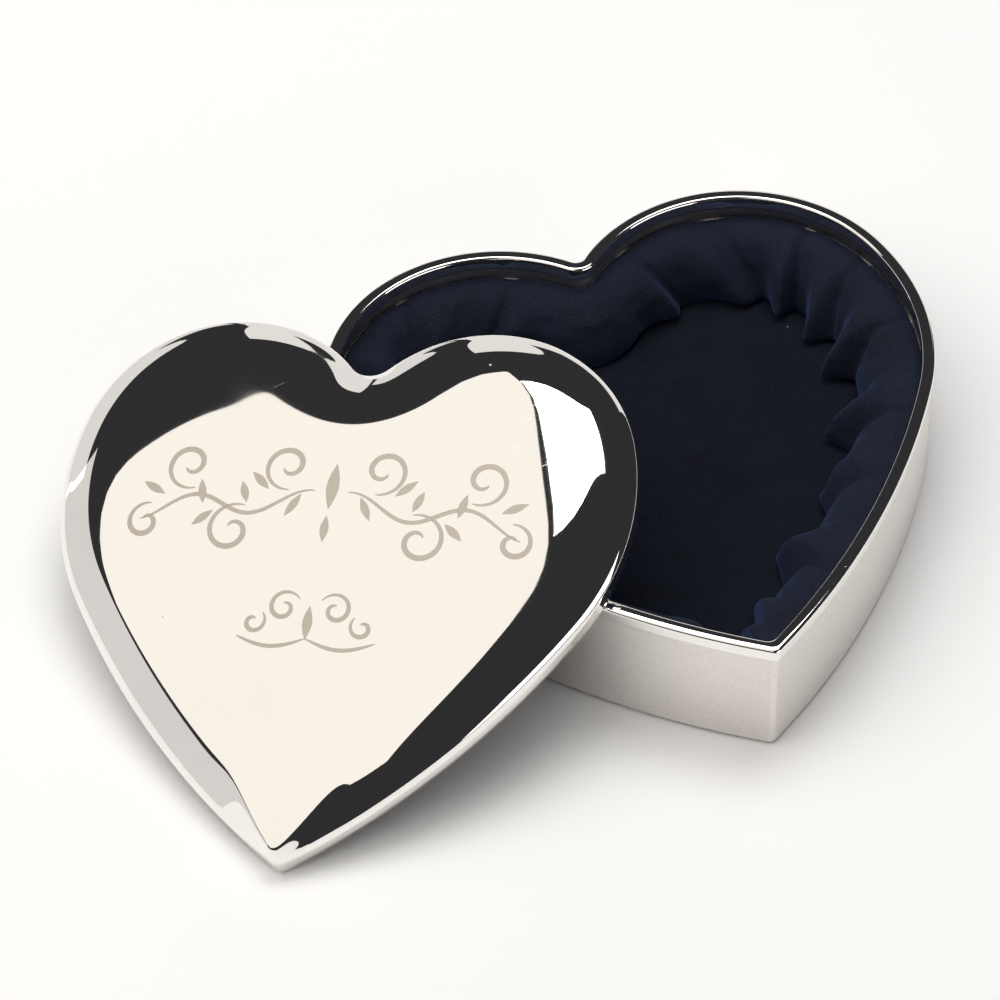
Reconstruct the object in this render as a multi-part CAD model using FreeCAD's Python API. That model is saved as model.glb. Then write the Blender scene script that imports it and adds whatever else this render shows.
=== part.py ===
import FreeCAD, Part
import math
import os

# Heart-shaped trinket box: an open box with a velvet lining, and its loose lid leaning on it.
# Millimetres, +Z up, origin at the centre of the box's base, tip of the heart towards -Y.
# Every heart is the same chain of tangent arcs; "inset" is how far it lies inside the rim's edge.

Vector = FreeCAD.Vector
UP = Vector(0, 0, 1)

# The heart at the outer edge of the rim.
heart_width = 92.0
lobe_radius = 26.3
side_radius = 38.0
flank_radius = 128.0
shoulder_angle = 17.0
waist_angle = -31.6
cleft_radius = 1.5
corner_radius = 1.0

# Box shell.
box_height = 21.0
rim_width = 2.0
rim_height = 2.2
rim_overhang = 0.3
wall_thickness = 1.2
wall_clearance = 0.4
bottom_round = 0.35
rim_top_round = 0.5
plate_thickness = 1.0
pad_thickness = 1.0
pad_margin = 2.4

# Lining of the box.
card_thickness = 1.2
lining_drop = 4.0
velvet_roll = 0.8
gather_head = 3.2
gather_foot = 8.6
gather_steps = 6
floor_foam_thickness = 2.6
velvet_thickness = 0.8
fitting_gap = 0.15

# Lid: its skirt drops inside the rim, and its edge rests on the lining's rolled top.
lid_clearance = 0.4
lid_thickness = 0.9
skirt_height = 3.0
skirt_corner = 0.5
skirt_corner_reach = 0.7
skirt_corner_steps = 3
bevel_reach = 5.5
bevel_outer_slope = 0.64
bevel_inner_slope = 0.26
shoulder_reach = 7.2
shoulder_steps = 5
crown_rise = 4.0
crown_reach = 22.0
face_reach = 20.0
face_steps = 3
dome_tip_radius = 1.6
tip_softening = 0.35
hem_width = 0.8
hem_height = 1.3
lid_lining_depth = 3.2
lid_foam_thickness = 0.9
lid_velvet_margin = 1.3
lid_foam_margin = 2.5
lid_card_margin = 4.2

# Resting place of the lid: leaning on the rim with its tip on the table.
lid_heading = -58.3
lid_tilt = 21.84
lid_turn = 26.9
lid_place = Vector(-54.33, -8.57, 0)

# Levels and insets worked out from the sizes above.
wall_inset = rim_overhang
wall_inner = wall_inset + wall_thickness
plate_bottom = pad_thickness
plate_top = plate_bottom + plate_thickness
wall_top = box_height - rim_height
lining_top = box_height - lining_drop
card_inner = wall_inner + card_thickness
floor_card_top = plate_top + card_thickness
floor_foam_top = floor_card_top + floor_foam_thickness
lid_inset = rim_width + lid_clearance
lid_inner = lid_inset + lid_thickness


def polar(centre, radius, degrees):
    """The point at an angle on a circle."""
    angle = math.radians(degrees)
    return centre + Vector(radius * math.cos(angle), radius * math.sin(angle), 0)


def arc(centre, radius, start, end):
    """The short arc between two angles in degrees."""
    middle = (start + end) / 2
    points = [polar(centre, radius, angle) for angle in (start, middle, end)]
    return Part.Arc(*points).toShape()


def angle_of(vector):
    return math.degrees(math.atan2(vector.y, vector.x))


def arc_centres():
    """Centres of the right half's arcs, with the heart centred on its own length."""
    side = Vector(heart_width / 2 - side_radius, 0, 0)
    lobe = polar(side, side_radius - lobe_radius, shoulder_angle)
    flank = polar(side, flank_radius - side_radius, waist_angle + 180)
    tip_y = flank.y - math.sqrt(flank_radius ** 2 - flank.x ** 2)
    top_y = lobe.y + lobe_radius
    shift = Vector(0, -(tip_y + top_y) / 2, 0)
    cleft_y = lobe.y + math.sqrt((lobe_radius + cleft_radius) ** 2 - lobe.x ** 2)
    cleft = Vector(0, cleft_y, 0)
    return [centre + shift for centre in (cleft, lobe, side, flank)]


def heart_wire(inset, tip_radius=corner_radius):
    """The closed heart at an inset, on the plane z = 0."""
    cleft, lobe, side, flank = arc_centres()
    cleft_arc_radius = cleft_radius + inset
    flank_arc_radius = flank_radius - inset
    meeting_angle = angle_of(cleft - lobe)
    tip_drop = math.sqrt((flank_arc_radius - tip_radius) ** 2 - flank.x ** 2)
    tip = Vector(0, flank.y - tip_drop, 0)
    tip_angle = angle_of(tip - flank)
    half = [
        arc(cleft, cleft_arc_radius, -90, meeting_angle - 180),
        arc(lobe, lobe_radius - inset, meeting_angle, shoulder_angle),
        arc(side, side_radius - inset, shoulder_angle, waist_angle),
        arc(flank, flank_arc_radius, waist_angle, tip_angle),
        arc(tip, tip_radius, tip_angle, -90),
    ]
    mirrored = [edge.mirror(Vector(), Vector(1, 0, 0)) for edge in reversed(half)]
    return Part.Wire(Part.__sortEdges__(half + mirrored))


def heart_slab(inset, bottom, top, tip_radius=corner_radius):
    """A flat heart between two heights."""
    slab = Part.Face(heart_wire(inset, tip_radius)).extrude(UP * (top - bottom))
    slab.translate(UP * bottom)
    return slab


def heart_ring(outer, inner, bottom, top):
    """A heart-shaped band between two insets and two heights."""
    hole = heart_slab(inner, bottom, top, inner_tip(inner))
    return heart_slab(outer, bottom, top, inner_tip(outer)).cut(hole)


def inner_tip(inset):
    """The tip corner gets rounder the further it lies inside the rim."""
    return corner_radius + tip_softening * inset


def edges_at(shape, height):
    """The edges that lie flat at one height."""
    level = [edge for edge in shape.Edges if abs(edge.BoundBox.ZMin - height) < 1e-4]
    return [edge for edge in level if abs(edge.BoundBox.ZMax - height) < 1e-4]


def box_wall():
    wall = heart_ring(wall_inset, wall_inner, wall_clearance, wall_top)
    return wall.makeFillet(bottom_round, edges_at(wall, wall_clearance))


def box_rim():
    rim = heart_ring(0, rim_width, wall_top, box_height)
    return rim.makeFillet(rim_top_round, edges_at(rim, box_height))


def base_plate():
    return heart_slab(wall_inner, plate_bottom, plate_top, inner_tip(wall_inner))


def base_pad():
    return heart_slab(wall_inner + pad_margin, 0, pad_thickness, inner_tip(pad_margin))


def lining_card():
    return heart_ring(wall_inner, card_inner, plate_top, lining_top - velvet_roll)


def side_velvet():
    """The gathered velvet: a padded band that swells towards the floor and rolls over the card."""
    band = heart_slab(card_inner, floor_card_top, lining_top, inner_tip(card_inner))
    hollow = []
    for step in range(gather_steps + 1):
        angle = math.pi / 2 * step / gather_steps
        inset = gather_head + (gather_foot - gather_head) * math.cos(angle)
        section = heart_wire(inset, inner_tip(inset))
        section.translate(UP * (floor_card_top + (lining_top - floor_card_top) * math.sin(angle)))
        hollow.append(section)
    band = band.cut(Part.makeLoft(hollow, True, True))
    roll = heart_ring(wall_inner + fitting_gap, card_inner, lining_top - velvet_roll, lining_top)
    return band.fuse(roll).removeSplitter()


def floor_card():
    return heart_slab(card_inner, plate_top, floor_card_top, inner_tip(card_inner))


def floor_foam():
    inset = gather_foot + fitting_gap
    return heart_slab(inset, floor_card_top, floor_foam_top, inner_tip(inset))


def floor_velvet():
    inset = gather_foot + fitting_gap
    slab = heart_slab(inset, floor_foam_top, floor_foam_top + velvet_thickness, inner_tip(inset))
    return slab.makeFillet(velvet_thickness / 2, edges_at(slab, floor_foam_top + velvet_thickness))


def dome_height(depth):
    """Height of the lid's outside at a distance in from its edge: a skirt with a softened corner,
    a bevel that eases inwards, and a gently crowned face."""
    corner = max(0, 1 - depth / skirt_corner_reach)
    bevel = min(depth, bevel_reach)
    easing = (bevel_outer_slope - bevel_inner_slope) / bevel_reach
    rise = bevel_outer_slope * bevel - easing * bevel ** 2 / 2
    reach = shoulder_reach - bevel_reach
    run_out = min(max(depth - bevel_reach, 0), reach)
    rise += bevel_inner_slope * (run_out - run_out ** 2 / (2 * reach))
    crown = crown_rise * (1 - (1 - depth / crown_reach) ** 2)
    return skirt_height + rise + crown - skirt_corner * corner ** 2


def steps(start, end, count):
    return [start + (end - start) * step / count for step in range(count)]


def dome(inset, lowering):
    """A solid puffed heart: an upright skirt with the dome's height profile over it."""
    depths = steps(0, skirt_corner_reach, skirt_corner_steps)
    depths += steps(skirt_corner_reach, shoulder_reach, shoulder_steps)
    depths += steps(shoulder_reach, face_reach, face_steps)
    depths.append(face_reach)
    sections = []
    for depth in depths:
        section = lid_outline(inset + depth)
        section.translate(UP * (dome_height(depth) - lowering))
        sections.append(section)
    cap = Part.makeLoft(sections, True, True)
    return lid_heart(inset, 0, dome_height(0) - lowering).fuse(cap)


def lid_shell():
    return dome(lid_inset, 0).cut(dome(lid_inner, lid_thickness))


def lid_tip(inset):
    """The lid's tip corner, a little blunter than the box's."""
    return dome_tip_radius + tip_softening * (inset - lid_inset)


def lid_outline(inset):
    return heart_wire(inset, lid_tip(inset))


def lid_heart(inset, bottom, top):
    return heart_slab(inset, bottom, top, lid_tip(inset))


def lid_hem():
    """The rolled hem just inside the skirt's edge."""
    hole = lid_heart(lid_inner + hem_width, 0, hem_height)
    return lid_heart(lid_inner, 0, hem_height).cut(hole)


def lid_velvet():
    bottom = lid_lining_depth - velvet_thickness
    velvet = lid_heart(lid_inner + lid_velvet_margin, bottom, lid_lining_depth)
    return velvet.makeFillet(velvet_thickness / 2, edges_at(velvet, bottom))


def lid_foam():
    top = lid_lining_depth + lid_foam_thickness
    return lid_heart(lid_inner + lid_foam_margin, lid_lining_depth, top)


def lid_card():
    bottom = lid_lining_depth + lid_foam_thickness
    return lid_heart(lid_inner + lid_card_margin, bottom, bottom + card_thickness)


def lean(piece):
    """Turn a lid piece to its resting tilt and set the lid's tip on the table."""
    turn = FreeCAD.Rotation(UP, lid_turn)
    tilt = FreeCAD.Rotation(Vector(1, 0, 0), lid_tilt)
    heading = FreeCAD.Rotation(UP, lid_heading)
    pose = FreeCAD.Placement(lid_place, heading.multiply(tilt).multiply(turn))
    edge = lid_outline(lid_inset)
    edge.Placement = pose.multiply(edge.Placement)
    lowest = min(point.z for point in edge.discretize(4000))
    leaned = piece.copy()
    leaned.Placement = pose.multiply(leaned.Placement)
    leaned.translate(UP * -lowest)
    return leaned


box_pieces = {
    "box_wall": box_wall,
    "box_rim": box_rim,
    "base_plate": base_plate,
    "base_pad": base_pad,
    "lining_card": lining_card,
    "side_velvet": side_velvet,
    "floor_card": floor_card,
    "floor_foam": floor_foam,
    "floor_velvet": floor_velvet,
}
lid_pieces = {
    "lid_shell": lid_shell,
    "lid_hem": lid_hem,
    "lid_velvet": lid_velvet,
    "lid_foam": lid_foam,
    "lid_card": lid_card,
}

os.makedirs("parts", exist_ok=True)
for name, build in box_pieces.items():
    build().exportStep(f"parts/{name}.step")
for name, build in lid_pieces.items():
    lean(build()).exportStep(f"parts/{name}.step")
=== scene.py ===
import math

import bmesh
import bpy
import numpy as np
from mathutils import Matrix, Vector
from mathutils.bvhtree import BVHTree


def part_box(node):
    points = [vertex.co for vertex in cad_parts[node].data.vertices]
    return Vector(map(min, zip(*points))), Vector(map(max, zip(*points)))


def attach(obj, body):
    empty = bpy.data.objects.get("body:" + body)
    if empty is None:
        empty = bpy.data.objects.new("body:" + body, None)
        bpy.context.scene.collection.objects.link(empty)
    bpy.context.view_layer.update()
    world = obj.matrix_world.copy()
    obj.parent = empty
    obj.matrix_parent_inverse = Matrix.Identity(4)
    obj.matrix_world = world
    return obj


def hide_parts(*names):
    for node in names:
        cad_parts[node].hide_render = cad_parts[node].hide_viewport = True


# Heart-shaped trinket box with its loose domed lid: the looks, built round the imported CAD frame.
# Metres, +Z up, the tip of the box's heart towards -Y.

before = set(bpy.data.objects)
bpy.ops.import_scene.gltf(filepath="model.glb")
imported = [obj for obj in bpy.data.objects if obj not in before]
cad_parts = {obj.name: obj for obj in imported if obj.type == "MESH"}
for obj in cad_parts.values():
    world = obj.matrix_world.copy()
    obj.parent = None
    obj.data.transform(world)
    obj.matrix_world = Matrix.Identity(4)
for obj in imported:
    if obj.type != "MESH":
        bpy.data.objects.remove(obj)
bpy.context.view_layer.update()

# ---------------------------------------------------------------- sizes taken from the frame
rim_low, rim_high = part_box("box_rim")
mm = (rim_high.x - rim_low.x) / 92.0
rim_bottom = rim_low.z
rim_top = rim_high.z
pad_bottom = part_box("floor_foam")[0].z
pad_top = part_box("floor_velvet")[1].z
lining_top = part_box("side_velvet")[1].z
lining_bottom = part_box("side_velvet")[0].z
card_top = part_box("lining_card")[1].z
foot_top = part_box("base_pad")[1].z

# The heart's outline at the rim's edge: a chain of tangent arcs, as in the CAD model.
HALF_WIDTH = 46.0 * mm
LOBE_RADIUS = 26.3 * mm
SIDE_RADIUS = 38.0 * mm
FLANK_RADIUS = 128.0 * mm
SHOULDER_ANGLE = math.radians(17.0)
WAIST_ANGLE = math.radians(-31.6)
CLEFT_RADIUS = 1.5 * mm
CORNER_RADIUS = 1.0 * mm
TIP_SOFTENING = 0.35

# Insets of the box's layers from the rim's outer edge, as in the CAD model.
RIM_WIDTH = 2.0 * mm
RIM_ROUND = 0.5 * mm
ROLL_OUTER = 1.65 * mm
CARD_INNER = 2.75 * mm
GATHER_HEAD = 3.2 * mm
GATHER_FOOT = 8.6 * mm
PAD_EDGE = 8.75 * mm
FOOT_EDGE = 3.9 * mm
FOOT_TIP_RADIUS = 1.84 * mm

# The lid's lining, measured from the lid's edge, as in the CAD model.
LID_PAD_LOW = 2.4 * mm
LID_PAD_HIGH = 4.1 * mm
LID_PAD_EDGE = 4.6 * mm

# Folds of the gathered lining: place along its half from cleft to tip at the top and at the foot,
# width as a share of the half, and how far it swells.
RIGHT_FOLDS = (
    (0.07, 0.14, 0.060, 2.6),
    (0.17, 0.27, 0.085, 3.2),
    (0.285, 0.31, 0.045, 4.0),
    (0.355, 0.40, 0.055, 4.4),
    (0.45, 0.48, 0.055, 4.8),
    (0.59, 0.62, 0.060, 5.0),
    (0.69, 0.76, 0.085, 2.4),
    (0.85, 0.91, 0.060, 4.4),
    (0.97, 0.985, 0.035, 2.4),
)
LEFT_FOLDS = (
    (0.08, 0.13, 0.055, 2.2),
    (0.20, 0.24, 0.055, 3.0),
    (0.31, 0.35, 0.050, 3.4),
    (0.43, 0.46, 0.055, 3.8),
    (0.57, 0.60, 0.060, 3.2),
    (0.74, 0.77, 0.080, 1.2),
    (0.93, 0.95, 0.050, 1.6),
)

# The lid's resting pose, as in the CAD model.
LID_HEADING = math.radians(-58.3)
LID_TILT = math.radians(21.84)
LID_TURN = math.radians(26.9)
LID_INSET = 2.4 * mm
LID_THICKNESS = 0.9 * mm
SKIRT_HEIGHT = 3.0 * mm
SKIRT_CORNER = 0.5 * mm
SKIRT_CORNER_REACH = 0.7 * mm
BEVEL_REACH = 5.5 * mm
BEVEL_OUTER_SLOPE = 0.64
BEVEL_INNER_SLOPE = 0.26
SHOULDER_REACH = 7.2 * mm
CROWN_RISE = 4.0 * mm
CAP_REACH = 20.0 * mm
DOME_TIP_RADIUS = 1.6 * mm
TIP_REACH_SHARE = 0.2
TIP_LENGTH = 12.0 * mm

# Relaxing of the dome's mesh, which the CAD model doesn't have: from which ring, and how often.
FIRST_EVENED_RING = 8
EVENING_ROUNDS = 24

# The studio, in metres.
FLOOR_RADIUS = 0.32
FLOOR_DROP = 0.0002
CEILING = 0.62
CARD_REACH = 0.6


# ---------------------------------------------------------------- the heart's outline
def polar(centre, radius, angle):
    return centre + radius * np.array([math.cos(angle), math.sin(angle)])


def arc_centres():
    side = np.array([HALF_WIDTH - SIDE_RADIUS, 0.0])
    lobe = polar(side, SIDE_RADIUS - LOBE_RADIUS, SHOULDER_ANGLE)
    flank = polar(side, FLANK_RADIUS - SIDE_RADIUS, WAIST_ANGLE + math.pi)
    tip_y = flank[1] - math.sqrt(FLANK_RADIUS ** 2 - flank[0] ** 2)
    top_y = lobe[1] + LOBE_RADIUS
    cleft = np.array([0.0, lobe[1] + math.sqrt((LOBE_RADIUS + CLEFT_RADIUS) ** 2 - lobe[0] ** 2)])
    shift = np.array([0.0, -(tip_y + top_y) / 2])
    return [centre + shift for centre in (cleft, lobe, side, flank)]


def arc_points(centre, radius, start, end, count):
    angles = np.linspace(start, end, count, endpoint=False)
    return centre + radius * np.stack([np.cos(angles), np.sin(angles)], axis=1)


def heart(inset, tip_radius, density=1.0):
    """Points of the heart at an inset, from the cleft clockwise round the tip. Every inset gives
    the same number of points, so that rings at different insets join one to one."""
    cleft, lobe, side, flank = arc_centres()
    counts = [max(3, round(count * density)) for count in (9, 40, 34, 46, 9)]
    meeting = cleft - lobe
    meeting_angle = math.atan2(meeting[1], meeting[0])
    drop = math.sqrt((FLANK_RADIUS - inset - tip_radius) ** 2 - flank[0] ** 2)
    tip = np.array([0.0, flank[1] - drop])
    tip_angle = math.atan2(tip[1] - flank[1], tip[0] - flank[0])
    quarter = math.pi / 2
    half = np.vstack([
        arc_points(cleft, CLEFT_RADIUS + inset, -quarter, meeting_angle - math.pi, counts[0]),
        arc_points(lobe, LOBE_RADIUS - inset, meeting_angle, SHOULDER_ANGLE, counts[1]),
        arc_points(side, SIDE_RADIUS - inset, SHOULDER_ANGLE, WAIST_ANGLE, counts[2]),
        arc_points(flank, FLANK_RADIUS - inset, WAIST_ANGLE, tip_angle, counts[3]),
        arc_points(tip, tip_radius, tip_angle, -quarter, counts[4]),
        polar(tip, tip_radius, -quarter)[None, :],
    ])
    mirrored = half[1:-1][::-1] * np.array([-1.0, 1.0])
    return np.vstack([half, mirrored])


def tip_round(inset):
    return CORNER_RADIUS + TIP_SOFTENING * inset


def dome_tip(inset):
    return DOME_TIP_RADIUS + TIP_SOFTENING * (inset - LID_INSET)


def foot_tip(inset):
    return FOOT_TIP_RADIUS + TIP_SOFTENING * (inset - FOOT_EDGE)


def half_shares(outline):
    """For each point, how far along its half it lies, from 0 at the cleft to 1 at the tip, and
    whether it is on the right half."""
    steps = np.linalg.norm(np.roll(outline, -1, axis=0) - outline, axis=1)
    along = np.concatenate([[0], np.cumsum(steps)[:-1]]) / steps.sum()
    on_right = along <= 0.5
    return np.where(on_right, 2 * along, 2 - 2 * along), on_right


def outline_stack(density):
    """Outlines at every millimetre of inset, to find a heart whose points differ in inset."""
    return np.stack([heart(step * mm, tip_round(step * mm), density) for step in range(24)])


def at_insets(stack, insets):
    place = np.clip(insets / mm, 0, len(stack) - 1.001)
    low = place.astype(int)
    share = (place - low)[:, None]
    index = np.arange(stack.shape[1])
    return stack[low, index] * (1 - share) + stack[low + 1, index] * share


# ---------------------------------------------------------------- mesh helpers
def ring_faces(rings, around, first=0, closed=False):
    """Quads between rings of points stored one after another."""
    faces = []
    pairs = rings if closed else rings - 1
    for ring in range(pairs):
        low = first + ring * around
        high = first + ((ring + 1) % rings) * around
        for step in range(around):
            following = (step + 1) % around
            faces.append((low + following, low + step, high + step, high + following))
    return faces


def make_piece(name, points, faces, smooth=True):
    mesh = bpy.data.meshes.new(name)
    mesh.from_pydata([tuple(point) for point in points], [], faces)
    mesh.validate()
    mesh.update()
    if smooth:
        mesh.polygons.foreach_set("use_smooth", [True] * len(mesh.polygons))
    piece = bpy.data.objects.new(name, mesh)
    bpy.context.scene.collection.objects.link(piece)
    return piece


def face_outwards(piece):
    shape = bmesh.new()
    shape.from_mesh(piece.data)
    bmesh.ops.recalc_face_normals(shape, faces=shape.faces)
    shape.to_mesh(piece.data)
    shape.free()


def heart_form(name, rows, tip_of, density=1.0):
    """A closed heart through (inset, height) rows, from the middle of its underside, out round
    its edge and back to the middle of its top."""
    scales = np.linspace(1, 0, 14)[1:-1]
    rings = []
    for inset, height in rows:
        rings.append(raised(heart(inset, tip_of(inset), density), height))
    under, over = rings[0], rings[-1]
    under_centre, over_centre = under.mean(0), over.mean(0)
    before = [under_centre + (under - under_centre) * scale for scale in scales[::-1]]
    after = [over_centre + (over - over_centre) * scale for scale in scales]
    rings = before + rings + after
    around = len(under)
    points = np.vstack(rings + [under_centre, over_centre])
    faces = ring_faces(len(rings), around)
    under_hub, over_hub = len(points) - 2, len(points) - 1
    last = (len(rings) - 1) * around
    for step in range(around):
        following = (step + 1) % around
        faces.append((step, following, under_hub))
        faces.append((last + following, last + step, over_hub))
    piece = make_piece(name, points, faces)
    face_outwards(piece)
    return piece


def ripple(x, y, scale, seed):
    """A smooth uneven surface from -1 to 1, the same on every run."""
    dice = np.random.default_rng(seed)
    total = np.zeros_like(x)
    for turn in dice.uniform(0, math.tau, 9):
        wave = dice.uniform(0.6, 1.8) / scale
        total += np.sin(wave * math.tau * (x * math.cos(turn) + y * math.sin(turn)) + dice.uniform(0, 6))
    return total / 4


def get_points(mesh):
    points = np.empty(len(mesh.vertices) * 3)
    mesh.vertices.foreach_get("co", points)
    return points.reshape(-1, 3)


def set_points(mesh, points):
    mesh.vertices.foreach_set("co", points.ravel())
    mesh.update()


def puff(piece, held, pressure, most):
    """Let a piece swell as cloth under a little pressure, and keep where it settles. The held
    points stay, and no point moves further than the most."""
    grown = 20
    start = get_points(piece.data)
    set_points(piece.data, start * grown)
    group = piece.vertex_groups.new(name="held")
    group.add([int(index) for index in np.flatnonzero(held)], 1, "REPLACE")
    cloth = piece.modifiers.new("cloth", "CLOTH")
    cloth.settings.quality = 4
    cloth.settings.use_pressure = True
    cloth.settings.uniform_pressure_force = pressure
    cloth.settings.vertex_group_mass = "held"
    cloth.settings.effector_weights.gravity = 0
    cloth.settings.bending_stiffness = 2
    cloth.point_cache.frame_end = 16
    for frame_number in range(1, 17):
        bpy.context.scene.frame_set(frame_number)
    settled = piece.evaluated_get(bpy.context.evaluated_depsgraph_get())
    end = get_points(settled.data) / grown
    piece.modifiers.remove(cloth)
    piece.vertex_groups.remove(group)
    bpy.context.scene.frame_set(1)
    move = end - start
    length = np.linalg.norm(move, axis=1, keepdims=True)
    set_points(piece.data, start + move * np.minimum(1, most / np.maximum(length, 1e-9)))


def raised(outline, height):
    heights = np.full((len(outline), 1), height) if np.isscalar(height) else height[:, None]
    return np.hstack([outline, heights])


# ---------------------------------------------------------------- lid: dome
def membrane(points, triangles, held):
    """Height of an evenly loaded membrane stretched over a flat mesh, from 0 at the held points
    to 1 at its highest."""
    corner = [points[triangles[:, k]] for k in range(3)]
    edge_a, edge_b = corner[1] - corner[0], corner[2] - corner[0]
    area = 0.5 * np.abs(edge_a[:, 0] * edge_b[:, 1] - edge_a[:, 1] * edge_b[:, 0])
    starts, ends, weights = [], [], []
    for k in range(3):
        here, there, apex = triangles[:, (k + 1) % 3], triangles[:, (k + 2) % 3], triangles[:, k]
        u, v = points[here] - points[apex], points[there] - points[apex]
        weights.append((u * v).sum(1) / (4 * area))
        starts.append(here)
        ends.append(there)
    start, end, weight = (np.concatenate(part) for part in (starts, ends, weights))
    count = len(points)
    load = np.bincount(triangles.ravel(), np.repeat(area / 3, 3), count)
    load[held] = 0

    def stiffness(height):
        height = np.where(held, 0, height)
        pull = weight * (height[start] - height[end])
        force = np.bincount(start, pull, count) - np.bincount(end, pull, count)
        return np.where(held, 0, force)

    height = np.zeros(count)
    residual = load.copy()
    direction = residual.copy()
    energy = residual @ residual
    first_energy = energy
    while energy > 1e-16 * first_energy:
        push = stiffness(direction)
        step = energy / (direction @ push)
        height += step * direction
        residual -= step * push
        new_energy = residual @ residual
        direction = residual + new_energy / energy * direction
        energy = new_energy
    return height / height.max()


def shoulder_height(depth):
    """Height above the table side of the skirt, before the crown: a softened corner, a bevel that
    eases inwards, and a run-out into the face."""
    corner = np.clip(1 - depth / SKIRT_CORNER_REACH, 0, 1)
    bevel = np.minimum(depth, BEVEL_REACH)
    easing = (BEVEL_OUTER_SLOPE - BEVEL_INNER_SLOPE) / BEVEL_REACH
    rise = BEVEL_OUTER_SLOPE * bevel - easing * bevel ** 2 / 2
    reach = SHOULDER_REACH - BEVEL_REACH
    run_out = np.clip(depth - BEVEL_REACH, 0, reach)
    rise += BEVEL_INNER_SLOPE * (run_out - run_out ** 2 / (2 * reach))
    return SKIRT_HEIGHT + rise - SKIRT_CORNER * corner ** 2


def dome_mesh(inset, lowering, density=1.0):
    """Points and faces of the domed heart above the skirt's edge, closed over the top."""
    depths = list(np.linspace(0, SKIRT_CORNER_REACH, 7)[:-1])
    depths += list(np.linspace(SKIRT_CORNER_REACH, SHOULDER_REACH, 18)[:-1])
    depths += list(np.linspace(SHOULDER_REACH, CAP_REACH, 9))
    depths = [depth for depth in depths if depth < CAP_REACH]
    outlines = [heart(inset + depth, dome_tip(inset + depth), density) for depth in depths]
    around = len(outlines[0])
    edge_outline = outlines[0]
    from_tip = np.linalg.norm(edge_outline - edge_outline[edge_outline[:, 1].argmin()], axis=1)
    share = np.clip(from_tip / TIP_LENGTH, 0, 1)
    share = TIP_REACH_SHARE + (1 - TIP_REACH_SHARE) * share ** 2 * (3 - 2 * share)
    for step, depth in enumerate(depths):
        blend = share + (1 - share) * max(0, (depth - SHOULDER_REACH) / (CAP_REACH - SHOULDER_REACH))
        outlines[step] = edge_outline + (outlines[step] - edge_outline) * blend[:, None]
    last = outlines[-1]
    centre = last.mean(0)
    cap_scales = np.linspace(1, 0, 16)[1:-1]
    outlines += [centre + (last - centre) * scale for scale in cap_scales]
    depths += [CAP_REACH] * len(cap_scales)
    flat = np.vstack(outlines + [centre[None, :]])
    rings = len(outlines)
    faces = ring_faces(rings, around)
    hub = rings * around
    edge = (rings - 1) * around
    faces += [(edge + (step + 1) % around, edge + step, hub) for step in range(around)]
    triangles = []
    for face in faces:
        triangles.append(face[:3])
        if len(face) == 4:
            triangles.append((face[0], face[2], face[3]))
    held = np.zeros(len(flat), bool)
    held[:around] = True
    crown = membrane(flat * 1000, np.array(triangles), held)
    depth = np.append(np.repeat(depths, around), CAP_REACH)
    height = shoulder_height(depth) - lowering + CROWN_RISE * crown
    return np.hstack([flat, height[:, None]]), faces, around


def evened(points, around, first, rounds):
    """The dome with its rings from the first given one relaxed, so that reflections run smoothly."""
    rings = points[:-1].reshape(-1, around, 3).copy()
    for _ in range(rounds):
        beside = (np.roll(rings, 1, axis=1) + np.roll(rings, -1, axis=1)) / 2
        inward = (rings[first - 1:-2] + rings[first + 1:]) / 2
        rings[first:-1] = (rings[first:-1] + (beside[first:-1] + inward) / 2) / 2
    return np.vstack([rings.reshape(-1, 3), points[-1:]])


def build_lid_shell():
    outer, outer_faces, around = dome_mesh(LID_INSET, 0)
    outer = evened(outer, around, FIRST_EVENED_RING, EVENING_ROUNDS)
    inner, inner_faces, _ = dome_mesh(LID_INSET + LID_THICKNESS, LID_THICKNESS)
    outer_edge = outer[:around, :2]
    inner_edge = inner[:around, :2]
    middle_edge = (outer_edge + inner_edge) / 2
    bead = 0.25 * mm
    skirt = [
        raised(inner_edge, bead),
        raised(middle_edge, 0.0),
        raised(outer_edge, bead),
        raised(outer_edge, SKIRT_HEIGHT * 0.3),
        raised(outer_edge, SKIRT_HEIGHT * 0.6),
    ]
    skirt[1][:, :2] = middle_edge
    points = np.vstack(skirt + [outer, inner])
    rings = len(skirt) + 1
    faces = ring_faces(rings, around)
    top = len(skirt) * around
    faces += [tuple(index + top for index in face) for face in outer_faces]
    under = top + len(outer)
    faces += [tuple(index + under for index in reversed(face)) for face in inner_faces]
    faces += [
        (step, (step + 1) % around, under + (step + 1) % around, under + step)
        for step in range(around)
    ]
    return make_piece("lid_dome", points, faces)


def lid_rotation():
    turn = Matrix.Rotation(LID_TURN, 4, "Z")
    tilt = Matrix.Rotation(LID_TILT, 4, "X")
    heading = Matrix.Rotation(LID_HEADING, 4, "Z")
    return heading @ tilt @ turn


def lid_placement():
    """The lid's pose: its edge, turned and tilted, set where the frame's lid hem lies."""
    rotation = lid_rotation()
    edge = heart(LID_INSET, DOME_TIP_RADIUS)
    turned = np.array([rotation @ Vector((x, y, 0)) for x, y in edge])
    cad = np.array(
        [vertex.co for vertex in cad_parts["lid_shell"].data.vertices]
    )
    low = turned.min(0)
    cad_low = cad.min(0)
    return Matrix.Translation(Vector(cad_low - low)) @ rotation


def place(piece, matrix):
    piece.data.transform(matrix)
    piece.data.update()


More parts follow.
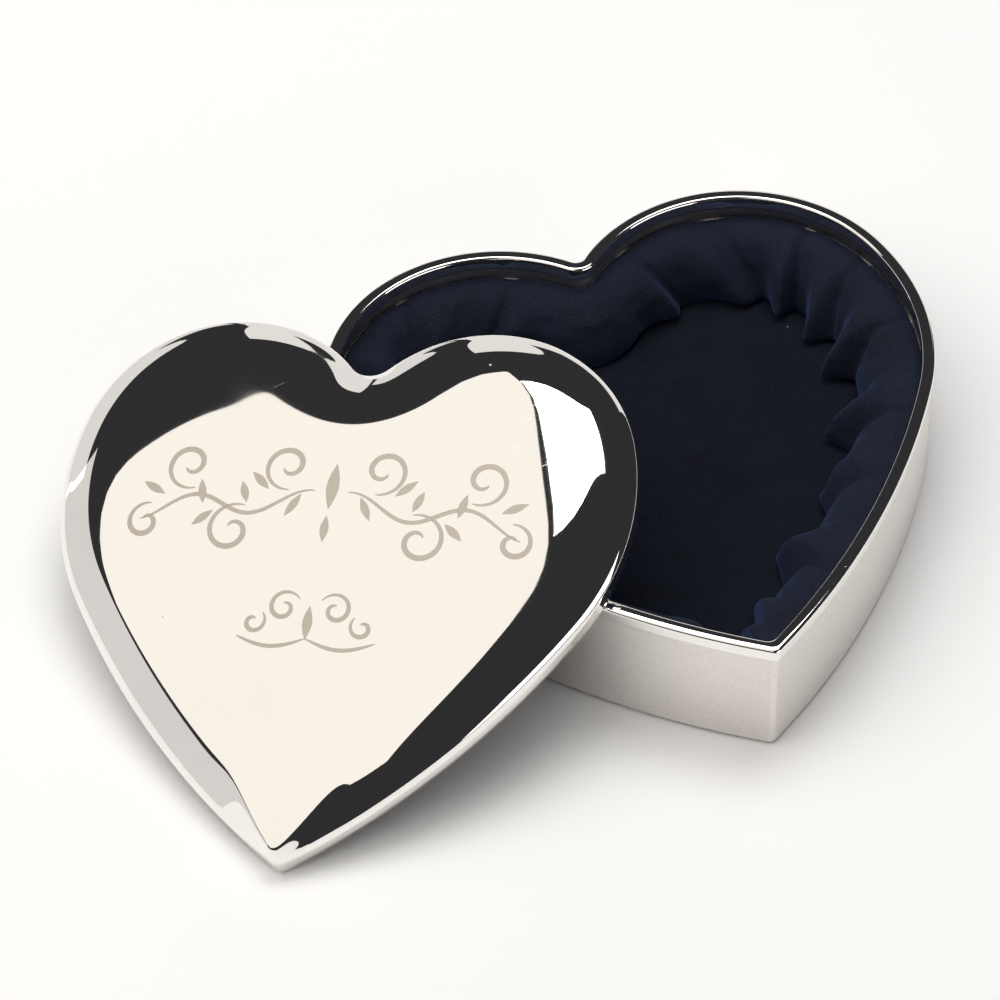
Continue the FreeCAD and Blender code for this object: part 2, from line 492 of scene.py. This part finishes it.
# ---------------------------------------------------------------- box: rim, velvet and foot
def build_rim():
    """The polished rim: a band with rounded shoulders and a barely crowned top."""
    crown = 0.05 * mm
    corner = np.linspace(0, math.pi / 2, 8)
    shoulder = rim_top - RIM_ROUND - crown
    rows = [(0.0, rim_bottom + 0.12 * mm), (0.0, rim_bottom + 0.2 * mm), (0.0, shoulder - 0.15 * mm)]
    for turn in corner:
        rows.append((RIM_ROUND * (1 - math.cos(turn)), shoulder + RIM_ROUND * math.sin(turn)))
    for share in (0.25, 0.5, 0.75):
        inset = RIM_ROUND + (RIM_WIDTH - 2 * RIM_ROUND) * share
        rows.append((inset, rim_top - crown + crown * 4 * share * (1 - share)))
    for turn in corner[::-1]:
        inset = RIM_WIDTH - RIM_ROUND * (1 - math.cos(turn))
        rows.append((inset, shoulder + RIM_ROUND * math.sin(turn)))
    rows += [(RIM_WIDTH, shoulder - 0.15 * mm), (RIM_WIDTH, rim_bottom + 0.2 * mm)]
    rows += [(RIM_WIDTH, rim_bottom), (RIM_WIDTH - 0.1 * mm, rim_bottom)]
    rows += [(0.22 * mm, rim_bottom), (0.12 * mm, rim_bottom)]
    rings = [raised(heart(inset, tip_round(inset), 2), height) for inset, height in rows]
    rim = make_piece("rim_bead", np.vstack(rings), ring_faces(len(rings), len(rings[0]), closed=True))
    face_outwards(rim)
    return rim


def fold_swell(shares, on_right, height_share):
    """How far the folds stand out, and how deep the creases between them are, in millimetres.
    Each fold swells gently from one side and drops sharply into its crease on the other."""
    swell = np.zeros_like(shares)
    crease = np.zeros_like(shares)
    for folds, here in ((RIGHT_FOLDS, on_right), (LEFT_FOLDS, ~on_right)):
        for top, foot, width, size in folds:
            offset = (shares - foot - (top - foot) * height_share) / width
            gentle = np.clip(1 + offset, 0, 1)
            sharp = np.clip(1 - offset / 0.28, 0, 1)
            bump = np.where(offset < 0, gentle, sharp)
            bump = bump * bump * (3 - 2 * bump)
            swell = np.maximum(swell, np.where(here, size * bump, 0))
            crease = np.maximum(crease, np.where(here, np.exp(-((offset - 0.3) / 0.12) ** 2), 0))
    return swell, crease


def build_side_lining():
    """The gathered velvet: a padded band in soft overlapping folds, rolled over the card's top."""
    density = 2.5
    stack = outline_stack(density)
    shares, on_right = half_shares(at_insets(stack, np.full(stack.shape[1], 5 * mm)))
    tall = lining_top - lining_bottom
    first_turn = math.asin((pad_top - lining_bottom) / tall)
    turns = [0, first_turn]
    turns += list(first_turn + np.array([0.004, 0.012, 0.03]))
    turns += list(np.linspace(first_turn + 0.06, math.pi / 2, 24))
    rings = []
    calm = 0.9 + 1.9 * np.clip((shares - 0.25) / 0.2, 0, 1) * on_right
    for turn in turns:
        height_share = math.sin(turn)
        above_pad = max(0, turn - first_turn)
        spread = math.sqrt(min(1, above_pad / 0.1)) * math.cos(turn) ** 0.7 if above_pad else 0
        swell, crease = fold_swell(shares, on_right, height_share)
        swell = np.maximum(swell, 0) + calm
        wrinkle = 0.22 * ripple(shares * 1.0, np.full_like(shares, height_share * 0.3), 0.09, 4)
        inset = GATHER_HEAD + (GATHER_FOOT - GATHER_HEAD) * math.cos(turn)
        inset = inset + (swell * spread + (wrinkle - 0.5 * crease) * min(1, above_pad * 3)) * mm
        sag = (0.5 * crease + 0.12 * ripple(shares, shares * 0, 0.07, 7) + 0.1) * height_share ** 4
        height = lining_bottom + tall * height_share - sag * mm
        rings.append(raised(at_insets(stack, inset), height))
    top = rings[-1][:, 2]
    drop = lining_top - top
    roll = (
        (2.8, 0.02), (2.35, 0.02), (1.95, 0.12), (1.72, 0.3), (1.65, 0.5),
    )
    for inset, lower in roll:
        outline = at_insets(stack, np.full(len(shares), inset * mm))
        rings.append(raised(outline, lining_top - drop - lower * mm))
    hidden_from = len(rings) - 2
    under_roll = card_top + 0.02 * mm
    for inset, height in (
        (ROLL_OUTER, under_roll), (CARD_INNER, under_roll), (CARD_INNER, lining_bottom),
    ):
        rings.append(raised(at_insets(stack, np.full(len(shares), inset)), height))
    points = np.vstack(rings)
    lining = make_piece("side_lining", points, ring_faces(len(rings), len(shares), closed=True))
    face_outwards(lining)
    ring_of = np.repeat(np.arange(len(rings)), len(shares))
    puff(lining, (ring_of >= hidden_from) | (ring_of < 2), 1.5, 0.7 * mm)
    return lining


def build_floor_pad():
    """The padded floor: a thin velvet-covered pad, soft at its edge and a little uneven."""
    soft = 0.9 * mm
    turns = np.linspace(-0.2, math.pi / 2, 9)
    rows = [(18 * mm, pad_bottom), (12 * mm, pad_bottom), (PAD_EDGE + 0.3 * mm, pad_bottom)]
    rows += [(PAD_EDGE, pad_bottom + 0.4 * mm)]
    rows += [
        (PAD_EDGE + soft * (1 - math.cos(turn)), pad_top - soft + soft * math.sin(turn)) for turn in turns
    ]
    rows += [(inset * mm, pad_top) for inset in (11, 13, 15, 17, 19)]
    pad = heart_form("floor_pad", rows, tip_round)
    points = get_points(pad.data)
    on_top = np.clip((points[:, 2] - pad_top + 0.3 * mm) / (0.3 * mm), 0, 1)
    uneven = ripple(points[:, 0], points[:, 1], 28 * mm, 3)
    points[:, 2] += on_top * 0.1 * mm * (uneven - 1)
    set_points(pad.data, points)
    puff(pad, points[:, 2] < pad_top - soft, 0.6, 0.3 * mm)
    return pad


def build_lid_pad():
    """The lid's lining: a thin velvet pad, crowned towards the box."""
    soft = (LID_PAD_HIGH - LID_PAD_LOW) / 2
    middle = (LID_PAD_HIGH + LID_PAD_LOW) / 2
    turns = np.linspace(-math.pi / 2, math.pi / 2, 11)
    rows = [(inset * mm, LID_PAD_LOW) for inset in (19, 15, 12, 9, 7)]
    for turn in turns:
        pulled_in = 1.2 * mm * max(0, math.sin(turn))
        inset = LID_PAD_EDGE + soft * (1 - math.cos(turn)) + pulled_in
        rows.append((inset, middle + soft * math.sin(turn)))
    rows += [(inset * mm, LID_PAD_HIGH) for inset in (9, 14, 19)]
    pad = heart_form("lid_pad", rows, dome_tip)
    points = get_points(pad.data)
    below = points[:, 2] < middle
    crown = ripple(points[:, 0], points[:, 1], 30 * mm, 5)
    points[:, 2] += np.where(below, 0.12 * mm * (crown + 1) * (middle - points[:, 2]) / soft, 0)
    set_points(pad.data, points)
    puff(pad, ~below, 0.6, 0.3 * mm)
    return pad


def build_foot():
    """The felt pad under the box, with softly cut edges."""
    soft = 0.25 * mm
    rows = [(14 * mm, 0), (FOOT_EDGE + 2 * soft, 0), (FOOT_EDGE + soft, 0), (FOOT_EDGE, soft)]
    rows += [(FOOT_EDGE, foot_top - soft), (FOOT_EDGE + soft, foot_top), (14 * mm, foot_top)]
    return heart_form("felt_foot", rows, foot_tip)


# ---------------------------------------------------------------- lid: engraved ornament
def curl(centre, start_radius, end_radius, start, end, count=40):
    """A spiral from one radius to another between two angles, in degrees."""
    turns = np.radians(np.linspace(start, end, count))
    radii = np.linspace(start_radius, end_radius, count)
    return np.array(centre) + radii[:, None] * np.stack([np.cos(turns), np.sin(turns)], axis=1)


def leaf(root, heading, length):
    """A straight short path, which the stroke's width turns into a leaf."""
    turn = math.radians(heading)
    reach = np.linspace(0, length, 12)[:, None]
    return np.array(root) + reach * np.array([math.cos(turn), math.sin(turn)])


def stroke(path, widest, thin=0.12, leaf_shaped=False):
    """Width of a pen stroke along a path: thin at its ends, or pointed like a leaf."""
    along = np.linspace(0, 1, len(path))
    swell = np.sin(math.pi * along) ** (1.0 if leaf_shaped else 0.6)
    return thin * (0 if leaf_shaped else 1) + widest * swell


def ornament_strokes():
    """A plain scroll ornament, in millimetres on the lid: one wide row and a small one below."""
    vine = np.linspace(2.5, 29, 90)
    stem = np.stack([vine, 12 + 1.7 * np.sin(vine * math.tau / 17.5 + 0.4) - 0.08 * vine], axis=1)
    half = [(stem, stroke(stem, 0.55))]
    for centre, outer, inner, start, end in (
        ((7.2, 17.2), 3.9, 0.8, -100, 330),
        ((14.2, 6.6), 4.2, 0.8, 110, -320),
        ((22.4, 16.8), 3.9, 0.8, -110, 320),
        ((28.0, 7.6), 3.0, 0.7, 100, -300),
    ):
        path = curl(centre, outer, inner, start, end, 70)
        half.append((path, stroke(path, 0.75)))
    for root, heading, length in (
        ((4.5, 12.8), -62, 4.2), ((9.6, 13.3), 42, 4.0), ((12.6, 11.0), 70, 3.6),
        ((17.6, 9.6), -40, 3.8), ((19.4, 10.6), 78, 4.0), ((25.6, 12.0), 28, 4.2),
    ):
        path = leaf(root, heading, length)
        half.append((path, stroke(path, 1.25, leaf_shaped=True)))
    for centre, outer, inner, start, end in (
        ((3.9, -5.0), 2.6, 0.6, 150, -280),
        ((8.2, -7.4), 1.9, 0.5, 130, 480),
    ):
        path = curl(centre, outer, inner, start, end, 60)
        half.append((path, stroke(path, 0.6)))
    tail = np.linspace(0, 1, 40)
    sweep = np.stack([10.5 * tail, -9.6 - 1.4 * np.sin(tail * math.pi)], axis=1)
    half.append((sweep, stroke(sweep, 0.5)))
    centre_line = [
        (leaf((0, 10.5), 90, 7.5), 1.9),
        (leaf((0, 9.5), -90, 4.2), 1.3),
        (leaf((0, -4.6), -90, 5.2), 1.5),
    ]
    mirrored = [(path * [-1, 1], width) for path, width in half]
    return half + mirrored + [(path, stroke(path, width, leaf_shaped=True)) for path, width in centre_line]


def build_ornament(dome):
    """The engraving: thin strokes that follow the domed face."""
    surface = BVHTree.FromPolygons(
        [vertex.co.copy() for vertex in dome.data.vertices],
        [tuple(polygon.vertices) for polygon in dome.data.polygons],
    )
    lift, sunk = 0.02 * mm, 0.08 * mm
    points, faces = [], []
    for path, width in ornament_strokes():
        heading = np.gradient(path, axis=0)
        heading /= np.linalg.norm(heading, axis=1, keepdims=True)
        sideways = np.stack([-heading[:, 1], heading[:, 0]], axis=1)
        first = len(points)
        for across in (-0.5, 0.5):
            for x, y in (path + across * sideways * np.maximum(width, 0.02)[:, None]) * mm:
                height = surface.ray_cast(Vector((x, y, 1)), Vector((0, 0, -1)))[0].z
                points += [(x, y, height + lift), (x, y, height - sunk)]
        count = len(path)
        for step in range(count - 1):
            left, right = first + 2 * step, first + 2 * (count + step)
            faces.append((left, right, right + 2, left + 2))
            faces.append((left + 1, left + 3, right + 3, right + 1))
            faces.append((left, left + 2, left + 3, left + 1))
            faces.append((right, right + 1, right + 3, right + 2))
        last_left, last_right = first + 2 * (count - 1), first + 2 * (2 * count - 1)
        faces.append((first, first + 1, first + 2 * count + 1, first + 2 * count))
        faces.append((last_left, last_right, last_right + 1, last_left + 1))
    ornament = make_piece("lid_engraving", points, faces, smooth=False)
    face_outwards(ornament)
    return ornament


# ---------------------------------------------------------------- materials
def new_material(name):
    material = bpy.data.materials.new(name)
    material.use_nodes = True
    nodes = material.node_tree.nodes
    return material, nodes, material.node_tree.links, nodes["Principled BSDF"]


class Recipe:
    """A material being built from nodes that read the piece's own place in metres."""

    def __init__(self, name):
        self.material, self.nodes, self.links, self.shader = new_material(name)
        self.place = self.nodes.new("ShaderNodeTexCoord").outputs["Object"]

    def stretched(self, scale, turn=(0, 0, 0)):
        mapping = self.nodes.new("ShaderNodeMapping")
        mapping.inputs["Scale"].default_value = scale
        mapping.inputs["Rotation"].default_value = turn
        self.links.new(self.place, mapping.inputs["Vector"])
        return mapping.outputs["Vector"]

    def noise(self, scale, detail=3.0, roughness=0.55, place=None):
        noise = self.nodes.new("ShaderNodeTexNoise")
        noise.inputs["Scale"].default_value = scale
        noise.inputs["Detail"].default_value = detail
        noise.inputs["Roughness"].default_value = roughness
        self.links.new(place or self.place, noise.inputs["Vector"])
        return noise.outputs["Fac"]

    def specks(self, spacing, size, softness=0.3):
        """1 at small scattered dots, 0 elsewhere."""
        cells = self.nodes.new("ShaderNodeTexVoronoi")
        cells.inputs["Scale"].default_value = 1 / spacing
        self.links.new(self.place, cells.inputs["Vector"])
        edge = size / spacing
        return self.remap(cells.outputs["Distance"], edge * (1 - softness), edge, 1, 0)

    def remap(self, value, low, high, new_low, new_high):
        remap = self.nodes.new("ShaderNodeMapRange")
        for socket, number in zip(remap.inputs[1:5], (low, high, new_low, new_high)):
            socket.default_value = number
        self.links.new(value, remap.inputs[0])
        return remap.outputs[0]

    def maths(self, operation, first, second):
        node = self.nodes.new("ShaderNodeMath")
        node.operation = operation
        for socket, value in zip(node.inputs, (first, second)):
            if isinstance(value, (int, float)):
                socket.default_value = value
            else:
                self.links.new(value, socket)
        return node.outputs[0]

    def blend(self, share, first, second):
        """A colour between two, which are colours or sockets."""
        mix = self.nodes.new("ShaderNodeMix")
        mix.data_type = "RGBA"
        self.links.new(share, mix.inputs["Factor"])
        for name, colour in (("A", first), ("B", second)):
            socket = [item for item in mix.inputs if item.name == name and item.type == "RGBA"][0]
            if isinstance(colour, tuple):
                socket.default_value = (*colour, 1)
            else:
                self.links.new(colour, socket)
        return [item for item in mix.outputs if item.type == "RGBA"][0]

    def bump(self, height, distance, strength=1.0):
        bump = self.nodes.new("ShaderNodeBump")
        bump.inputs["Strength"].default_value = strength
        bump.inputs["Distance"].default_value = distance
        self.links.new(height, bump.inputs["Height"])
        self.links.new(bump.outputs["Normal"], self.shader.inputs["Normal"])

    def into(self, colour, roughness, metallic=0.0):
        for name, value in (("Base Color", colour), ("Roughness", roughness), ("Metallic", metallic)):
            socket = self.shader.inputs[name]
            if isinstance(value, (int, float)):
                socket.default_value = value
            else:
                self.links.new(value, socket)


def mirror_nickel():
    """Mirror-polished nickel with faint smears, hairline scratches and a few specks of dust."""
    recipe = Recipe("mirror_nickel")
    smear = recipe.remap(recipe.noise(55, 4), 0.52, 0.75, 0, 1)
    lines = recipe.noise(1, 2, place=recipe.stretched((60, 2600, 900), (0.3, 0.2, 0.7)))
    other = recipe.noise(1, 2, place=recipe.stretched((2200, 50, 900), (0.1, 0.4, 0.25)))
    worn = recipe.remap(recipe.noise(38, 2), 0.56, 0.70, 0, 1)
    lines = recipe.remap(lines, 0.70, 0.76, 0, 1)
    other = recipe.remap(other, 0.72, 0.78, 0, 1)
    scratches = recipe.maths("MAXIMUM", lines, other)
    scratches = recipe.maths("MULTIPLY", scratches, worn)
    dust = recipe.specks(0.0065, 0.00022)
    smeared = recipe.remap(smear, 0, 1, 0.018, 0.06)
    rough = recipe.maths("ADD", smeared, recipe.maths("MULTIPLY", scratches, 0.15))
    rough = recipe.maths("MAXIMUM", rough, recipe.maths("MULTIPLY", dust, 0.6))
    colour = recipe.blend(smear, (0.90, 0.875, 0.84), (0.87, 0.845, 0.815))
    recipe.into(colour, metallic=1.0, roughness=rough)
    recipe.bump(scratches, 0.000004, 0.35)
    return recipe.material


def satin_nickel():
    """Satin-brushed nickel: a fine grain round the wall, soft cloudiness and a few dark scuffs."""
    recipe = Recipe("satin_nickel")
    grain = recipe.noise(1, 3, 0.6, recipe.stretched((900, 900, 5200)))
    frost = recipe.noise(2600, 2)
    cloud = recipe.noise(45, 3)
    scuff_lines = recipe.noise(1, 1, place=recipe.stretched((90, 90, 1100), (0.12, 0.1, 0)))
    scuffs = recipe.remap(scuff_lines, 0.80, 0.83, 0, 1)
    grained = recipe.remap(grain, 0.3, 0.7, 0.30, 0.42)
    rough = recipe.maths("ADD", grained, recipe.remap(cloud, 0.3, 0.7, -0.03, 0.03))
    base = recipe.blend(recipe.remap(frost, 0.35, 0.65, 0, 1), (0.735, 0.70, 0.665), (0.80, 0.765, 0.73))
    colour = recipe.blend(scuffs, base, (0.33, 0.30, 0.28))
    recipe.into(colour, metallic=1.0, roughness=rough)
    recipe.bump(recipe.maths("ADD", grain, frost), 0.000012, 0.5)
    return recipe.material


def navy_velvet(name, painted_light_level):
    """Short-pile navy velvet with painted sheen: paler patches and streaks where the nap would catch the
    light, and painted highlights on the pile's tips. The painted light level gives a paler lit copy or a
    darker shaded copy.
    """
    recipe = Recipe(name)
    shades = [(0.0050, 0.0052, 0.0088), (0.0066, 0.0086, 0.0175), (0.0095, 0.0125, 0.0235)]
    # The painted light level scales these colours into a paler lit copy or a darker shaded copy of the
    # velvet.
    dark, painted_sheen_colour, painted_highlight_colour = [tuple(channel * painted_light_level for channel in shade) for shade in shades]
    # Painted sheen: the brushed noise and the streak noise set paler patches where the nap would catch the
    # light; the brushed noise also drives the bump.
    pile = recipe.noise(3600, 2)
    brushed = recipe.noise(120, 4, 0.6)
    sheen_streaks = recipe.noise(1, 3, 0.6, recipe.stretched((90, 210, 160), (0.3, 0.1, 0.8)))
    painted_sheen_mask = recipe.remap(recipe.maths("ADD", brushed, sheen_streaks), 0.85, 1.2, 0, 1)
    shade = recipe.blend(painted_sheen_mask, dark, painted_sheen_colour)
    # Painted highlight: the fine pile noise paints paler tips on the pile.
    pile_with_painted_highlight = recipe.blend(recipe.remap(pile, 0.35, 0.7, 0, 1), shade, painted_highlight_colour)
    lint = recipe.specks(0.0055, 0.00013)
    recipe.into(recipe.blend(lint, pile_with_painted_highlight, (0.22, 0.25, 0.30)), roughness=0.95)
    recipe.shader.inputs["Specular IOR Level"].default_value = 0.15
    recipe.shader.inputs["Sheen Weight"].default_value = 0.16 * painted_light_level
    recipe.shader.inputs["Sheen Roughness"].default_value = 0.35
    recipe.shader.inputs["Sheen Tint"].default_value = (0.16, 0.30, 0.75, 1)
    recipe.bump(recipe.maths("ADD", pile, brushed), 0.00012, 0.6)
    return recipe.material


def dark_felt():
    """Pressed felt: matted fibres in near-black navy."""
    recipe = Recipe("dark_felt")
    fibres = recipe.noise(1, 4, 0.7, recipe.stretched((900, 2600, 900), (0, 0, 0.5)))
    matted = recipe.noise(700, 4, 0.7)
    colour = recipe.blend(recipe.remap(fibres, 0.35, 0.7, 0, 1), (0.010, 0.012, 0.020), (0.035, 0.038, 0.052))
    recipe.into(colour, roughness=0.95)
    recipe.shader.inputs["Sheen Weight"].default_value = 0.2
    recipe.bump(recipe.maths("ADD", fibres, matted), 0.00015, 0.7)
    return recipe.material


def grey_card():
    """Plain grey board with flecks and a slight tooth."""
    recipe = Recipe("grey_card")
    tooth = recipe.noise(1800, 3, 0.6)
    flecks = recipe.specks(0.0021, 0.00018)
    base = recipe.blend(recipe.remap(tooth, 0.35, 0.65, 0, 1), (0.26, 0.25, 0.23), (0.36, 0.35, 0.32))
    recipe.into(recipe.blend(flecks, base, (0.13, 0.12, 0.11)), roughness=0.85)
    recipe.bump(tooth, 0.00004, 0.5)
    return recipe.material


def etched_nickel():
    """Frosted engraving: a matt, slightly warmer grey than the polish round it."""
    recipe = Recipe("etched_nickel")
    frost = recipe.noise(5200, 2)
    cloud = recipe.noise(160, 3)
    pale = recipe.blend(recipe.remap(frost, 0.35, 0.65, 0, 1), (0.47, 0.42, 0.35), (0.56, 0.50, 0.42))
    colour = recipe.blend(recipe.remap(cloud, 0.35, 0.65, 0, 0.5), pale, (0.50, 0.46, 0.40))
    recipe.into(colour, metallic=0.35, roughness=recipe.remap(frost, 0.3, 0.7, 0.5, 0.7))
    recipe.bump(frost, 0.00001, 0.5)
    return recipe.material


def assign(piece, material):
    piece.data.materials.clear()
    piece.data.materials.append(material)


def add_piece(piece, material, body, nodes):
    """Finish a new piece: its material, the body it rides on and the CAD nodes it stands for."""
    assign(piece, material)
    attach(piece, body)
    if nodes:
        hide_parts(*nodes)


# ---------------------------------------------------------------- build
mirror = mirror_nickel()
satin = satin_nickel()
# A paler lit copy of the velvet for the lining and the lid's pad, and a darker copy for the floor as painted
# shade.
cloth = navy_velvet("navy_velvet", 1.5)
floor_cloth_painted_shade = navy_velvet("navy_velvet_painted_shade", 0.8)
card = grey_card()

dome = build_lid_shell()
ornament = build_ornament(dome)
lid_pad = build_lid_pad()
placement = lid_placement()
for piece in (dome, ornament, lid_pad):
    place(piece, placement)
add_piece(dome, mirror, "lid", ["lid_shell"])
add_piece(ornament, etched_nickel(), "lid", [])
add_piece(lid_pad, cloth, "lid", ["lid_velvet", "lid_foam"])

add_piece(build_rim(), mirror, "box", ["box_rim"])
side_lining = build_side_lining()
add_piece(side_lining, cloth, "box", ["side_velvet"])
floor_pad = build_floor_pad()
# The floor's velvet is the darker copy: painted shade.
add_piece(floor_pad, floor_cloth_painted_shade, "box", ["floor_velvet", "floor_foam"])
foot = build_foot()
add_piece(foot, dark_felt(), "box", ["base_pad"])

for name, material in (
    ("box_wall", satin), ("base_plate", satin), ("lid_hem", mirror),
    ("lining_card", card), ("floor_card", card), ("lid_card", card),
):
    assign(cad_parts[name], material)

# ---------------------------------------------------------------- floor, light, camera
def add_floor():
    turns = np.linspace(0, 2 * math.pi, 97)[:-1]
    points = [(FLOOR_RADIUS * math.cos(a), FLOOR_RADIUS * math.sin(a), 0) for a in turns]
    floor = make_piece("floor", points, [tuple(range(len(points)))], smooth=False)
    material, nodes, links, shader = new_material("floor_white")
    shader.inputs["Base Color"].default_value = (0.9, 0.9, 0.9, 1)
    shader.inputs["Roughness"].default_value = 0.8
    assign(floor, material)
    floor.location.z = -FLOOR_DROP


def add_light(name, place, aim, size, radiance, colour, spin=0.0, in_reflections=True):
    """A soft rectangular light that the camera doesn't see, of a given brightness per area."""
    light = bpy.data.lights.new(name, "AREA")
    light.shape = "RECTANGLE"
    light.size, light.size_y = size
    light.energy = radiance * math.pi * size[0] * size[1]
    light.color = colour
    lamp = bpy.data.objects.new(name, light)
    lamp.location = place
    facing = (Vector(place) - Vector(aim)).to_track_quat("Z", "Y").to_matrix()
    lamp.rotation_euler = (facing @ Matrix.Rotation(math.radians(spin), 3, "Z")).to_euler()
    lamp.visible_camera = False
    lamp.visible_glossy = in_reflections
    bpy.context.scene.collection.objects.link(lamp)


def direction(azimuth, elevation):
    """Unit vector; azimuth in degrees is clockwise from +Y, seen from above."""
    turn, lift = math.radians(azimuth), math.radians(elevation)
    return Vector((math.sin(turn) * math.cos(lift), math.cos(turn) * math.cos(lift), math.sin(lift)))


def add_lights():
    """A cream softbox overhead, a bright window beside it, and low white cards all round."""
    lid = Vector((-0.05, 0, 0.02))
    down = Vector((0, 0, -1))
    spin = -6
    across = Matrix.Rotation(math.radians(spin), 3, "Z") @ Vector((1, 0, 0))
    along = Matrix.Rotation(math.radians(spin), 3, "Z") @ Vector((0, 1, 0))
    wide, deep = 1.2, 1.0
    softbox = Vector((-0.078, 0.377, CEILING)) - across * wide / 2 - along * deep / 2
    add_light("softbox", softbox, softbox + down, (wide, deep), 1.03, (1, 0.96, 0.895), spin)
    window = Vector((0.105, 0.155, CEILING))
    add_light("window", window, window + down, (0.40, 0.29), 4.0, (1, 1, 1), -5)
    for name, azimuth, low, high, wide, radiance in (
        ("card_front_right", 142, 0, 28, 0.45, 2.2),
        ("card_left", -66, -6, 20, 0.6, 0.7),
        ("card_back", 36, -6, 28, 0.6, 0.8),
        ("card_back_left", -17, -6, 9, 0.55, 0.75),
    ):
        away = direction(azimuth, (low + high) / 2)
        tall = 2 * CARD_REACH * math.tan(math.radians((high - low) / 2))
        add_light(name, lid + away * CARD_REACH, lid, (wide, tall), radiance, (1, 0.98, 0.96))
    add_light("fill", (-0.25, 0.1, 0.9), (0, 0, 0), (1.4, 1.4), 1.1, (1, 0.985, 0.965), in_reflections=False)


def add_world():
    world = bpy.data.worlds.new("studio")
    world.use_nodes = True
    nodes, links = world.node_tree.nodes, world.node_tree.links
    sky = nodes["Background"]
    sky.inputs["Color"].default_value = (0.030, 0.030, 0.033, 1)
    seen = nodes.new("ShaderNodeBackground")
    seen.inputs["Color"].default_value = (1, 1, 1, 1)
    path = nodes.new("ShaderNodeLightPath")
    mix = nodes.new("ShaderNodeMixShader")
    links.new(path.outputs["Is Camera Ray"], mix.inputs["Fac"])
    links.new(sky.outputs[0], mix.inputs[1])
    links.new(seen.outputs[0], mix.inputs[2])
    links.new(mix.outputs[0], nodes["World Output"].inputs["Surface"])
    bpy.context.scene.world = world


def add_camera():
    azimuth, elevation, distance = -0.342, 0.836, 1.0048
    target = Vector((-0.0212, 0.01356, 0))
    back = Vector((
        math.sin(azimuth) * math.cos(elevation),
        -math.cos(azimuth) * math.cos(elevation),
        math.sin(elevation),
    ))
    data = bpy.data.cameras.new("camera")
    data.lens = 241.0
    data.sensor_width = 36
    camera = bpy.data.objects.new("camera", data)
    camera.location = target + back * distance
    camera.rotation_euler = back.to_track_quat("Z", "Y").to_euler()
    bpy.context.scene.collection.objects.link(camera)
    bpy.context.scene.camera = camera


add_floor()
add_world()
add_lights()
add_camera()
bpy.context.scene.view_settings.view_transform = "Standard"
